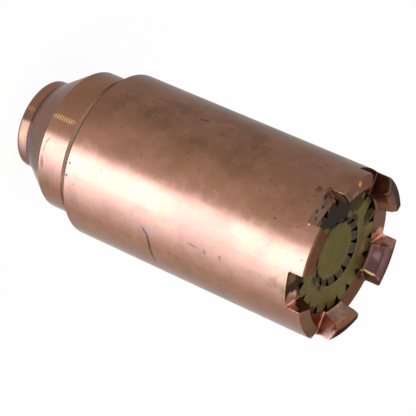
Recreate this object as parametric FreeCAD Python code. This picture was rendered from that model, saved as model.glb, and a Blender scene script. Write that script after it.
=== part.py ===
"""Gas heating nozzle: a copper shell with a castellated crown, a turned copper tail, two brass jets.

Millimetres. The nozzle stands on the rear face of its neck: the axis is Z, the origin is the middle of that
face, and the crown points up. The X axis runs through the middle of one of the six crown slots.
"""
import FreeCAD, Part
import math
import os

Vector = FreeCAD.Vector
AXIS = Vector(0, 0, 1)
ORIGIN = Vector(0, 0, 0)

# Barrel: every piece inside takes its radius from this one, wall by wall
shell_radius = 17.5
shell_wall = 2.5
crown_wall = 4.6
ring_wall = 5.7

# Tail: neck, cone and collar, turned from one bar
neck_radius = 9.5
neck_length = 2.4
neck_edge_chamfer = 0.3
cone_length = 7.9
collar_length = 6.7
spigot_length = 14.0
inlet_radius = 6.0
inlet_depth = 12.0
inlet_edge_chamfer = 0.5
gas_bore_radius = 4.0
flare_radius = 10.5
flare_depth = 6.5

# Shell: outside, bores and the seats inside
shell_length = 56.3
shell_end_inset = 1.5
shell_end_bevel = 1.4
shell_end_round = 0.65
shoulder_length = 14.0
shoulder_step = 0.9

# Crown: the teeth above the slot floor
tooth_height = 4.1
tooth_ridge_inset = 2.3
tooth_lip_width = 1.0
tooth_outer_drop = 0.75
tooth_outer_chamfer = 0.25
tooth_ridge_round = 0.55
tooth_tip_chamfer = 0.3
slot_width = 8.1
slot_corner_radius = 0.4
slot_pairs = 3

# Jets: a grooved brass ring and a grooved brass core pressed into it
ring_groove_count = 20
ring_groove_depth = 1.95
ring_groove_mouth = 1.6
ring_groove_turn = 13.9
core_groove_count = 14
core_groove_depth = 1.3
core_groove_mouth = 1.35
core_groove_turn = 1.8
jet_edge_chamfer = 0.12
dish_rim_width = 0.1
dish_wall_width = 1.15
dish_depth = 0.6

# Radii and heights worked out from the sizes above
collar_radius = shell_radius - shell_wall
ring_radius = shell_radius - crown_wall
core_radius = ring_radius - ring_wall
chamber_radius = ring_radius - shoulder_step
cone_front = neck_length + cone_length
shell_rear = cone_front + collar_length
spigot_front = shell_rear + spigot_length
jet_rear = spigot_front + shoulder_length
slot_floor = shell_rear + shell_length
tooth_top = slot_floor + tooth_height
tooth_edge = tooth_top - tooth_outer_drop
jet_length = slot_floor - jet_rear


def point(radius, height):
    """A point of a turned outline, in the XZ plane."""
    return Vector(radius, 0, height)


def outline(steps):
    """A closed wire through the steps: a point is a straight run, a pair (through, end) is an arc."""
    edges = []
    here = steps[0]
    for step in steps[1:] + [steps[0]]:
        if isinstance(step, tuple):
            through, end = step
            edges.append(Part.Arc(here, through, end).toShape())
            here = end
        else:
            edges.append(Part.LineSegment(here, step).toShape())
            here = step
    return Part.Wire(edges)


def turned(steps):
    """A solid of revolution about the nozzle's axis."""
    return Part.Face(outline(steps)).revolve(ORIGIN, AXIS, 360)


def rounded(before, corner, after, radius):
    """Three values for a rounded corner: its first point and the arc (middle, last point)."""
    into = (before - corner).normalize()
    out = (after - corner).normalize()
    half_angle = into.getAngle(out) / 2
    run = radius / math.tan(half_angle)
    start = corner + into * run
    end = corner + out * run
    bisector = (into + out).normalize()
    middle = corner + bisector * (radius / math.sin(half_angle) - radius)
    return [start, (middle, end)]


def cut_off(before, corner, after, run):
    """Two points that take off a corner, each this far from it along its side."""
    return [corner + (before - corner).normalize() * run, corner + (after - corner).normalize() * run]


def make_tail():
    """Neck, cone, collar and the spigot inside the shell, with the gas way through the middle."""
    flare_start = spigot_front - flare_depth
    return turned([
        point(inlet_radius + inlet_edge_chamfer, 0),
        point(neck_radius - neck_edge_chamfer, 0),
        point(neck_radius, neck_edge_chamfer),
        point(neck_radius, neck_length),
        point(collar_radius, cone_front),
        point(collar_radius, spigot_front),
        point(flare_radius, spigot_front),
        point(gas_bore_radius, flare_start),
        point(gas_bore_radius, inlet_depth),
        point(inlet_radius, inlet_depth),
        point(inlet_radius, inlet_edge_chamfer),
    ])


def make_slot_cutter():
    """One milling pass right across the crown, with the cutter's rounded corners at the floor."""
    half_width = slot_width / 2
    reach = shell_radius + slot_width
    above = tooth_top + tooth_height
    corners = [Vector(-reach, y, z) for y, z in (
        (-half_width, above), (-half_width, slot_floor), (half_width, slot_floor), (half_width, above))]
    steps = [corners[0]]
    steps += rounded(corners[0], corners[1], corners[2], slot_corner_radius)
    steps += rounded(corners[1], corners[2], corners[3], slot_corner_radius)
    steps += [corners[3]]
    return Part.Face(outline(steps)).extrude(Vector(2 * reach, 0, 0))


def off_slot_middle(place, turn):
    """How far a place lies from the middle plane of the slots that are turned by this angle."""
    angle = math.radians(turn)
    return abs(place.y * math.cos(angle) - place.x * math.sin(angle))


def tooth_tip_edges(shell, slot_turns):
    """The edges where the teeth's side faces meet their ends, from the outer edge to the ridge."""
    near = 0.001
    lowest = tooth_edge - 2 * tooth_outer_chamfer
    half_width = slot_width / 2
    found = []
    for edge in shell.Edges:
        ends = [vertex.Point for vertex in edge.Vertexes]
        on_wall = any(
            all(abs(off_slot_middle(end, turn) - half_width) < near for end in ends) for turn in slot_turns)
        if on_wall and edge.BoundBox.ZMin > lowest:
            found.append(edge)
    return found


def make_shell():
    """The copper barrel: a stepped tube whose thick front end is slotted into six teeth."""
    bevel_top = shell_rear + shell_end_bevel
    bevel_radius = shell_radius - shell_end_inset * shell_end_round / shell_end_bevel
    outer_edge = point(shell_radius, tooth_edge)
    ridge = point(shell_radius - tooth_ridge_inset, tooth_top)
    lip = point(ridge.x - tooth_lip_width, tooth_edge)
    bore_edge = point(ring_radius, slot_floor)
    steps = [
        point(collar_radius, shell_rear),
        point(shell_radius - shell_end_inset, shell_rear),
        point(bevel_radius, bevel_top),
        point(shell_radius, bevel_top + shell_end_round),
    ]
    steps += cut_off(steps[-1], outer_edge, ridge, tooth_outer_chamfer)
    steps += rounded(outer_edge, ridge, lip, tooth_ridge_round)
    steps += [
        lip,
        bore_edge,
        point(ring_radius, jet_rear),
        point(chamber_radius, jet_rear),
        point(chamber_radius, spigot_front),
        point(collar_radius, spigot_front),
    ]
    shell = turned(steps)
    cutter = make_slot_cutter()
    slot_turns = [180.0 * index / slot_pairs for index in range(slot_pairs)]
    for turn in slot_turns:
        shell = shell.cut(cutter.rotated(ORIGIN, AXIS, turn))
    return shell.makeChamfer(tooth_tip_chamfer, tooth_tip_edges(shell, slot_turns))


def groove_cutters(radius, depth, mouth, count, first_turn):
    """V grooves along the outside of a jet piece, cut to run past both of its ends."""
    # The flanks carry on straight to twice the depth, so that the cut is clean at the outside
    apex = Vector(radius - depth, 0, 0)
    left = Vector(radius + depth, mouth, 0)
    right = Vector(radius + depth, -mouth, 0)
    section = Part.Face(outline([apex, left, right]))
    groove = section.extrude(AXIS * (jet_length + 2 * depth)).translated(AXIS * (jet_rear - depth))
    return [groove.rotated(ORIGIN, AXIS, first_turn + 360.0 * index / count) for index in range(count)]


def make_jet_ring():
    """The outer jet piece: a brass tube with V grooves round its outside."""
    ring = turned([
        point(core_radius, jet_rear),
        point(ring_radius, jet_rear),
        point(ring_radius, slot_floor - jet_edge_chamfer),
        point(ring_radius - jet_edge_chamfer, slot_floor),
        point(core_radius + jet_edge_chamfer, slot_floor),
        point(core_radius, slot_floor - jet_edge_chamfer),
    ])
    return ring.cut(groove_cutters(
        ring_radius, ring_groove_depth, ring_groove_mouth, ring_groove_count, ring_groove_turn))


def make_jet_core():
    """The inner jet piece: a grooved brass rod whose front face is dished."""
    rim_outer = core_radius - jet_edge_chamfer
    rim_inner = rim_outer - dish_rim_width
    core = turned([
        point(0, jet_rear),
        point(core_radius, jet_rear),
        point(core_radius, slot_floor - jet_edge_chamfer),
        point(rim_outer, slot_floor),
        point(rim_inner, slot_floor),
        point(rim_inner - dish_wall_width, slot_floor - dish_depth),
        point(0, slot_floor - dish_depth),
    ])
    return core.cut(groove_cutters(
        core_radius, core_groove_depth, core_groove_mouth, core_groove_count, core_groove_turn))


pieces = {
    "tail": make_tail(),
    "shell": make_shell(),
    "jet_ring": make_jet_ring(),
    "jet_core": make_jet_core(),
}

os.makedirs("parts", exist_ok=True)
for name, shape in pieces.items():
    solid = shape.Solids[0]
    solid.exportStep(os.path.join("parts", name + ".step"))
    print(name, "solids", len(shape.Solids), "valid", solid.isValid(), "volume", round(solid.Volume, 1))
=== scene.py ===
"""Gas heating nozzle: the finish and fine form of a copper torch nozzle with a castellated crown.

Metres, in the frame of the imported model: the axis is Z, the neck stands on the floor at the origin and the
X axis runs through the middle of a crown slot. Each solid of the frame is replaced by a smooth mesh of the
same form: the tail is swept round the axis, and shell and jets are one sector each, repeated about the axis.
The patterns of the metals are in millimetres, and their turns in degrees.
"""
from collections import namedtuple
import math

import bmesh
import bpy
from mathutils import Matrix, Vector


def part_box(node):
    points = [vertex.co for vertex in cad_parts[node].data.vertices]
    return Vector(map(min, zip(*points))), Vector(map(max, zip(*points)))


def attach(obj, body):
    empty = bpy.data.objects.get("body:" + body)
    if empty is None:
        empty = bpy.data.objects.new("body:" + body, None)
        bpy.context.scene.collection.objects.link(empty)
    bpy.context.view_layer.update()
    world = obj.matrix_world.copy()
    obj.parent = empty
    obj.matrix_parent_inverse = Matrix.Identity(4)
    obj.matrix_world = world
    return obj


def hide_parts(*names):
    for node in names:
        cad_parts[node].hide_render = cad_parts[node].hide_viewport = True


bl_info = {
    "name": "Gas heating nozzle",
    "version": (1, 0, 0),
    "blender": (4, 5, 0),
    "location": "3D View > Sidebar > Nozzle",
    "description": "Builds a copper gas heating nozzle with brass jets, its metals and its stage",
    "category": "Object",
}

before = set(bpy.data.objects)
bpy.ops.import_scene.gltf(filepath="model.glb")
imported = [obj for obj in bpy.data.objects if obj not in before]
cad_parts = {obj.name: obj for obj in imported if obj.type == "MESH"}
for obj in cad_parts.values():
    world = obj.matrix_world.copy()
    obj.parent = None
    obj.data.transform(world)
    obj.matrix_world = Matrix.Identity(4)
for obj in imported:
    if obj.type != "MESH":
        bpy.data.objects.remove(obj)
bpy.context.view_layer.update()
TAIL_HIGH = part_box("tail")[1]
SHELL_LOW, SHELL_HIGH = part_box("shell")
RING_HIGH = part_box("jet_ring")[1]
CORE_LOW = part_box("jet_core")[0]
BODY = "root"
MM = 0.001
FACE_MARK = "face_metal"
BEVEL_WEIGHT = "bevel_weight_edge"
WHITE = (1.0, 1.0, 1.0, 1.0)


def length(name, description, default):
    """A size in metres that a user may change."""
    return bpy.props.FloatProperty(
        name=name, description=description, default=default, min=0.0, precision=5, unit="LENGTH")


def angle(name, description, default):
    """A turn about the axis that a user may change, given in degrees."""
    return bpy.props.FloatProperty(
        name=name, description=description, default=math.radians(default), unit="ROTATION")


def level(name, description, default):
    """A brightness, where 1 is the white of the background."""
    return bpy.props.FloatProperty(name=name, description=description, default=default, min=0.0, max=20.0)


def count(name, description, default):
    """A number of pieces that a user may change."""
    return bpy.props.IntProperty(name=name, description=description, default=default, min=1)


def colour(name, description, default):
    """A colour, given as linear red, green and blue."""
    return bpy.props.FloatVectorProperty(
        name=name, description=description, default=(*default, 1.0), size=4, min=0.0, max=1.0,
        subtype="COLOR")


class TailSizes(bpy.types.PropertyGroup):
    """Sizes of the turned tail."""
    neck_radius: length("Neck radius", "Outside of the neck", 9.5 * MM)
    neck_length: length("Neck length", "From the rear face to the cone", 2.4 * MM)
    cone_front: length("Cone front", "Height at which the cone meets the collar", 10.3 * MM)
    collar_radius: length("Collar radius", "Outside of collar and spigot", TAIL_HIGH.x)
    spigot_front: length("Spigot front", "Height of the spigot's end inside the shell", TAIL_HIGH.z)
    inlet_radius: length("Inlet radius", "Socket for the gas tube", 6.0 * MM)
    inlet_depth: length("Inlet depth", "Depth of the socket", 12.0 * MM)
    gas_bore_radius: length("Gas bore radius", "Way for the gas behind the socket", 4.0 * MM)
    flare_radius: length("Flare radius", "Wide end of the cone that opens into the chamber", 10.5 * MM)
    flare_depth: length("Flare depth", "Length of that cone", 6.5 * MM)
    edge: length("Edge", "Rounding of the turned edges", 0.22 * MM)
    steps_round: count("Steps round", "Facets round the axis", 180)


class ShellSizes(bpy.types.PropertyGroup):
    """Sizes of the barrel and its crown."""
    radius: length("Radius", "Outside of the barrel", SHELL_HIGH.x)
    rear: length("Rear", "Height of the barrel's rear face", SHELL_LOW.z)
    end_radius: length("End radius", "Small end of the bevel at the rear", 16.0 * MM)
    end_bevel: length("End bevel", "Length of that bevel", 1.4 * MM)
    end_round: length("End round", "Length of the step between bevel and barrel", 0.65 * MM)
    slot_floor: length("Slot floor", "Height of the slot floors", RING_HIGH.z)
    tooth_top: length("Tooth top", "Height of the sharp corner that the ridge is rounded from", 77.4 * MM)
    outer_drop: length("Outer drop", "How far the tooth's outer edge lies below its ridge", 0.75 * MM)
    ridge_inset: length("Ridge inset", "Ridge's distance from the barrel's outside", 2.3 * MM)
    outer_round: length("Outer round", "Radius of the tooth's outer edge", 0.4 * MM)
    ridge_round: length("Ridge round", "Radius of the tooth's ridge", 0.55 * MM)
    inner_lean: length("Inner lean", "How far the inner wall leans out at its top", 1.3 * MM)
    slot_width: length("Slot width", "Between two teeth", 8.1 * MM)
    slot_corner: length("Slot corner", "Round between slot floor and side wall", 0.4 * MM)
    tip_edge: length("Tip edge", "Worn edge round the tooth's end", 0.6 * MM)
    fine_edge: length("Fine edge", "Worn edge elsewhere", 0.1 * MM)
    slots: count("Slots", "Slots round the crown", 6)


class JetSizes(bpy.types.PropertyGroup):
    """Sizes of the grooved ring and core."""
    ring_radius: length("Ring radius", "Outside of the ring", RING_HIGH.x)
    ring_grooves: count("Ring grooves", "Grooves round the ring", 20)
    ring_groove_depth: length("Ring groove depth", "Depth of its grooves", 1.95 * MM)
    ring_groove_mouth: length("Ring groove mouth", "Width of its grooves", 1.6 * MM)
    ring_turn: angle("Ring turn", "Turn of its first groove", 13.9)
    core_radius: length("Core radius", "Outside of the core", 7.2 * MM)
    core_grooves: count("Core grooves", "Grooves round the core", 14)
    core_groove_depth: length("Core groove depth", "Depth of its grooves", 1.3 * MM)
    core_groove_mouth: length("Core groove mouth", "Width of its grooves", 1.35 * MM)
    core_turn: angle("Core turn", "Turn of its first groove", 1.8)
    front: length("Front", "Height of the front faces", RING_HIGH.z)
    rear: length("Rear", "Height of the rear faces", CORE_LOW.z)
    edge: length("Edge", "Edge of the front faces", 0.07 * MM)
    dish_radius: length("Dish radius", "Flat of the core's dish", 5.83 * MM)
    dish_rim: length("Dish rim", "Radius at which the dish's wall ends", 6.98 * MM)
    dish_depth: length("Dish depth", "Depth of the dish", 0.6 * MM)


class Metals(bpy.types.PropertyGroup):
    """Colours of the metals."""
    copper: colour("Copper", "Handled copper of the barrel", (0.285, 0.127, 0.071))
    brown: colour("Brown copper", "Copper under brown oxide", (0.168, 0.068, 0.037))
    rubbed: colour("Rubbed copper", "Copper rubbed bright", (0.340, 0.185, 0.125))
    turned: colour("Turned copper", "Clean copper of the tail", (0.262, 0.118, 0.066))
    # Painted glints: a bright golden colour laid on tool marks where they catch the light
    painted_glint_gold: colour("Golden copper", "Bright tool marks that catch the light", (0.800, 0.560, 0.250))
    brass: colour("Brass", "Dull brass of the jets", (0.205, 0.165, 0.062))
    # Near black: soot, painted shade in the grooves and their painted notches, and the dark seam
    soot: colour("Soot", "Soot in grooves and corners", (0.010, 0.008, 0.009))


class Studio(bpy.types.PropertyGroup):
    """Camera, floor and lights."""
    lens: bpy.props.FloatProperty(
        name="Lens", description="Focal length for a sensor 36 mm wide", default=198.12, unit="CAMERA")
    floor_size: length("Floor size", "Side of the floor", 6.0)
    floor_level: level("Floor level", "How bright the floor is in a mirror", 0.80)
    sky_level: level("Sky level", "How bright the world is in a mirror", 0.75)
    card_level: level("Card level", "How bright the light card's bright sector is", 10.0)
    card_glow: level("Card glow", "How much brighter the rest of the card is than the floor", 0.38)
    card_tint: colour("Card tint", "Colour of the bright sector", (0.60, 0.74, 1.0))


def linked(name, data):
    """A new object with this data, linked to the scene at the origin."""
    made = bpy.data.objects.new(name, data)
    bpy.context.scene.collection.objects.link(made)
    return made


def drawn(name, places, edges, faces, materials=()):
    """A linked object with a mesh of these places, edges and faces."""
    mesh = bpy.data.meshes.new(name)
    mesh.from_pydata(places, edges, faces)
    for material in materials:
        mesh.materials.append(material)
    return linked(name, mesh)


def plain_mesh(source, name):
    """The evaluated form of an object as a new plain mesh, in place of the object."""
    depsgraph = bpy.context.evaluated_depsgraph_get()
    mesh = bpy.data.meshes.new_from_object(source.evaluated_get(depsgraph))
    bpy.data.objects.remove(source)
    mesh.name = name
    return linked(name, mesh)


def seated(piece, node):
    """Puts a finished piece in place of its solid."""
    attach(piece, BODY)
    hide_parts(node)


def arc_points(before, corner, after, radius, steps):
    """A corner rounded by an arc, with a point close before and after it to keep the flats flat."""
    into = (before - corner).normalized()
    out = (after - corner).normalized()
    # The points beside the arc lie this share of its radius from its ends
    guard = 0.4
    half = into.angle(out) / 2
    run = radius / math.tan(half)
    centre = corner + (into + out).normalized() * (radius / math.sin(half))
    first = corner + into * run
    last = corner + out * run
    points = [first + into * radius * guard]
    sweep = math.pi - 2 * half
    spoke = first - centre
    turn_sign = 1 if into.x * out.y - into.y * out.x < 0 else -1
    for step in range(steps + 1):
        turned = Matrix.Rotation(turn_sign * sweep * step / steps, 2) @ spoke
        points.append(centre + turned)
    points.append(last + out * radius * guard)
    return points


def rounded_outline(corners, radius, steps=4):
    """A closed outline of (radius, height) points with every corner rounded."""
    points = []
    for index, corner in enumerate(corners):
        before = corners[index - 1]
        after = corners[(index + 1) % len(corners)]
        room = min((before - corner).length, (after - corner).length) / 4
        points += arc_points(before, corner, after, min(radius, room), steps)
    return points


def new_tree(name, kind, inputs, outputs):
    """A node group with inputs (name, socket type[, default]) and outputs (name, socket type).

    Returns the tree and its input node.
    """
    tree = bpy.data.node_groups.new(name, kind + "NodeTree")
    for label, socket_kind, *default in inputs:
        socket = tree.interface.new_socket(
            name=label, in_out="INPUT", socket_type="NodeSocket" + socket_kind)
        for value in default:
            socket.default_value = value
    for label, socket_kind in outputs:
        tree.interface.new_socket(name=label, in_out="OUTPUT", socket_type="NodeSocket" + socket_kind)
    return tree, add(tree, "NodeGroupInput")


def close_tree(tree, results):
    """Adds a group's output node and feeds it."""
    add(tree, "NodeGroupOutput", results)
    return tree


class Wire:
    """A node's output; arithmetic with it adds Math nodes to its tree."""

    def __init__(self, socket):
        self.socket = socket
        self.tree = socket.id_data

    def __add__(self, other):
        return calc("ADD", self, other)

    def __sub__(self, other):
        return calc("SUBTRACT", self, other)

    def __rsub__(self, other):
        return calc("SUBTRACT", other, self)

    def __mul__(self, other):
        return calc("MULTIPLY", self, other)

    def __truediv__(self, other):
        return calc("DIVIDE", self, other)

    def __rtruediv__(self, other):
        return calc("DIVIDE", other, self)


class Node:
    """A node whose outputs are taken as wires, by name or by place."""

    def __init__(self, made):
        self.made = made

    def __getitem__(self, label):
        return Wire(self.made.outputs[label])


def add(tree, kind, inputs=(), **settings):
    """Adds a node, sets its properties and feeds its inputs."""
    made = tree.nodes.new(kind)
    for key, value in settings.items():
        setattr(made, key, value)
    feed(made, inputs)
    return Node(made)


def feed(made, inputs):
    """Links wires to a node's inputs, or writes plain values there, from a dict or in order."""
    for label, value in inputs.items() if isinstance(inputs, dict) else enumerate(inputs):
        if isinstance(value, Wire):
            value.tree.links.new(value.socket, made.inputs[label])
        else:
            made.inputs[label].default_value = value


def calc(operation, *values, clamp=False):
    """A Math node's result, in the tree of the wires among its values."""
    tree = next(value.tree for value in values if isinstance(value, Wire))
    return add(tree, "ShaderNodeMath", values, operation=operation, use_clamp=clamp)[0]


def sweep_tree():
    """Geometry Nodes: sweeps an outline, drawn in X and Z, round the Z axis."""
    tree, given = new_tree(
        "Turned piece", "Geometry",
        [("Outline", "Geometry"), ("Steps Round", "Int", 96), ("Metal", "Material")],
        [("Piece", "Geometry")])
    path_radius = 0.1
    circle = add(tree, "GeometryNodeCurvePrimitiveCircle", {
        "Resolution": given["Steps Round"], "Radius": path_radius})
    upright = add(tree, "GeometryNodeSetCurveNormal", {"Curve": circle["Curve"]}, mode="Z_UP")
    parts = add(tree, "ShaderNodeSeparateXYZ", [add(tree, "GeometryNodeInputPosition")[0]])
    flat = add(tree, "ShaderNodeCombineXYZ", [parts["X"] - path_radius, parts["Z"] * -1.0])
    laid = add(tree, "GeometryNodeSetPosition", {"Geometry": given["Outline"], "Position": flat[0]})
    curve = add(tree, "GeometryNodeMeshToCurve", {"Mesh": laid["Geometry"]})
    swept = add(tree, "GeometryNodeCurveToMesh", {
        "Curve": upright["Curve"], "Profile Curve": curve["Curve"]})
    real = add(tree, "GeometryNodeRealizeInstances", {"Geometry": swept["Mesh"]})
    metal_set = add(tree, "GeometryNodeSetMaterial", {
        "Geometry": real["Geometry"], "Material": given["Metal"]})
    return close_tree(tree, {"Piece": metal_set["Geometry"]})


def repeat_tree():
    """Geometry Nodes: repeats one sector about the Z axis and welds the copies into a piece."""
    tree, given = new_tree(
        "Sectors about the axis", "Geometry",
        [("Sector", "Geometry"), ("Count", "Int", 6), ("First Turn", "Float", 0.0),
         ("Weld", "Float", 0.000002), ("Outside Metal", "Material"), ("Face Metal", "Material")],
        [("Piece", "Geometry")])
    places = add(tree, "GeometryNodePoints", {"Count": given["Count"]})
    turn = add(tree, "GeometryNodeInputIndex")[0] * (math.tau / given["Count"]) + given["First Turn"]
    copies = add(tree, "GeometryNodeInstanceOnPoints", {
        "Points": places[0], "Instance": given["Sector"],
        "Rotation": add(tree, "ShaderNodeCombineXYZ", {"Z": turn})[0]})
    real = add(tree, "GeometryNodeRealizeInstances", {"Geometry": copies["Instances"]})
    weld = add(tree, "GeometryNodeMergeByDistance", {
        "Geometry": real["Geometry"], "Distance": given["Weld"]})
    outside = add(tree, "GeometryNodeSetMaterial", {
        "Geometry": weld["Geometry"], "Material": given["Outside Metal"]})
    marked = add(tree, "GeometryNodeInputNamedAttribute", {"Name": FACE_MARK}, data_type="BOOLEAN")
    faces = add(tree, "GeometryNodeSetMaterial", {
        "Geometry": outside["Geometry"], "Selection": marked["Attribute"],
        "Material": given["Face Metal"]})
    return close_tree(tree, {"Piece": faces["Geometry"]})


def run_tree(source, tree, values):
    """Adds a Geometry Nodes modifier and sets its inputs by the names in the tree."""
    modifier = source.modifiers.new(tree.name, "NODES")
    modifier.node_group = tree
    identifiers = {
        item.name: item.identifier for item in tree.interface.items_tree
        if item.item_type == "SOCKET" and item.in_out == "INPUT"}
    for name, value in values.items():
        modifier[identifiers[name]] = value
    return modifier


def shared_tree(name, maker):
    """The node group of this name, made on first use."""
    return bpy.data.node_groups.get(name) or maker()


def build_tail(sizes, metal):
    """The turned tail, swept from a closed outline with rounded edges."""
    corners = [Vector(pair) for pair in (
        (sizes.inlet_radius, 0.0),
        (sizes.neck_radius, 0.0),
        (sizes.neck_radius, sizes.neck_length),
        (sizes.collar_radius, sizes.cone_front),
        (sizes.collar_radius, sizes.spigot_front),
        (sizes.flare_radius, sizes.spigot_front),
        (sizes.gas_bore_radius, sizes.spigot_front - sizes.flare_depth),
        (sizes.gas_bore_radius, sizes.inlet_depth),
        (sizes.inlet_radius, sizes.inlet_depth))]
    points = rounded_outline(corners, sizes.edge)
    edges = [(index, (index + 1) % len(points)) for index in range(len(points))]
    source = drawn("tail_outline", [(point.x, 0.0, point.y) for point in points], edges, [])
    run_tree(source, shared_tree("Turned piece", sweep_tree), {
        "Steps Round": sizes.steps_round, "Metal": metal})
    piece = plain_mesh(source, "turned_tail")
    point_outwards(piece)
    return piece


def point_outwards(piece):
    """Welds what still lies doubled, turns the faces outwards and shades them smoothly."""
    form = bmesh.new()
    form.from_mesh(piece.data)
    bmesh.ops.remove_doubles(form, verts=form.verts, dist=1e-7)
    bmesh.ops.recalc_face_normals(form, faces=form.faces)
    for face in form.faces:
        face.smooth = True
    form.to_mesh(piece.data)
    form.free()


class Sector:
    """Collects one sector's faces, edge weights and face marks, with points shared by place."""

    def __init__(self):
        self.form = bmesh.new()
        self.weight = self.form.edges.layers.float.new(BEVEL_WEIGHT)
        self.mark = self.form.faces.layers.bool.new(FACE_MARK)
        self.known = {}

    def vertex(self, place):
        """The point at a place; places that agree to 0.1 micrometres share one."""
        key = tuple(round(value * 1e7) for value in place)
        if key not in self.known:
            self.known[key] = self.form.verts.new(place)
        return self.known[key]

    def grid(self, rows, marked=False):
        """Faces between rows of places; a face that has shrunk to a line is left out."""
        for low, high in zip(rows, rows[1:]):
            for index in range(len(low) - 1):
                ring = [low[index], low[index + 1], high[index + 1], high[index]]
                corners = list(dict.fromkeys(self.vertex(place) for place in ring))
                if len(corners) > 2 and not self.form.faces.get(corners):
                    face = self.form.faces.new(corners)
                    face[self.mark] = marked

    def weigh(self, places, value):
        """Gives the edges along a line of places a share of the bevel's width."""
        corners = [self.vertex(place) for place in places]
        for first, second in zip(corners, corners[1:]):
            edge = self.form.edges.get((first, second)) if first != second else None
            if edge:
                edge[self.weight] = value

    def finished(self, name):
        mesh = bpy.data.meshes.new(name)
        self.form.to_mesh(mesh)
        self.form.free()
        return linked(name, mesh)


def on_turn(radius, turn, height):
    """A place from its radius, its turn about the axis and its height."""
    return (radius * math.cos(turn), radius * math.sin(turn), height)


def spread(first, last, steps):
    """Evenly spaced values from first to last, both included."""
    return [first + (last - first) * step / steps for step in range(steps + 1)]


def shell_rear_profile(sizes, jets, tail):
    """The shell's wall below the slot floor: (radius, height) down the outside and back up the bores.

    Three stretches: the outside, the bevel with the step above it, and the bores.
    """
    bevel_top = sizes.rear + sizes.end_bevel
    slope = (sizes.radius - sizes.end_radius) / sizes.end_bevel
    bevel_radius = sizes.radius - slope * sizes.end_round
    chamber_radius = jets.ring_radius - 0.9 * MM
    foot_round = 0.12 * MM
    outside = [Vector((sizes.radius, height))
               for height in spread(sizes.slot_floor, bevel_top + sizes.end_round, 20)]
    foot = arc_points(
        Vector((bevel_radius, bevel_top)), Vector((sizes.end_radius, sizes.rear)),
        Vector((tail.collar_radius, sizes.rear)), foot_round, 3)
    bores = [Vector(pair) for pair in (
        (tail.collar_radius, sizes.rear),
        (tail.collar_radius, tail.spigot_front),
        (chamber_radius, tail.spigot_front),
        (chamber_radius, jets.rear),
        (jets.ring_radius, jets.rear),
        (jets.ring_radius, sizes.slot_floor))]
    return outside, [outside[-1], Vector((bevel_radius, bevel_top))] + foot, foot[-1:] + bores


def tooth_outline(sizes, jets):
    """A tooth's section from the outer wall over the ridge to the inner wall, as three stretches."""
    edge_height = sizes.tooth_top - sizes.outer_drop
    foot = Vector((sizes.radius, sizes.slot_floor))
    outer_edge = Vector((sizes.radius, edge_height))
    ridge = Vector((sizes.radius - sizes.ridge_inset, sizes.tooth_top))
    lip = Vector((jets.ring_radius + sizes.inner_lean, edge_height))
    bore_edge = Vector((jets.ring_radius, sizes.slot_floor))
    outer_arc = arc_points(foot, outer_edge, ridge, sizes.outer_round, 4)
    ridge_arc = arc_points(outer_edge, ridge, lip, sizes.ridge_round, 5)
    wall_rows = 7
    outer_wall = [foot.lerp(outer_arc[0], step / wall_rows) for step in range(wall_rows + 1)]
    inner_wall = [bore_edge.lerp(lip, step / wall_rows) for step in range(wall_rows + 1)]
    slope = [outer_arc[-1].lerp(ridge_arc[0], part) for part in (0.33, 0.67)]
    return outer_wall, outer_arc + slope + ridge_arc + [lip], inner_wall


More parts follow.
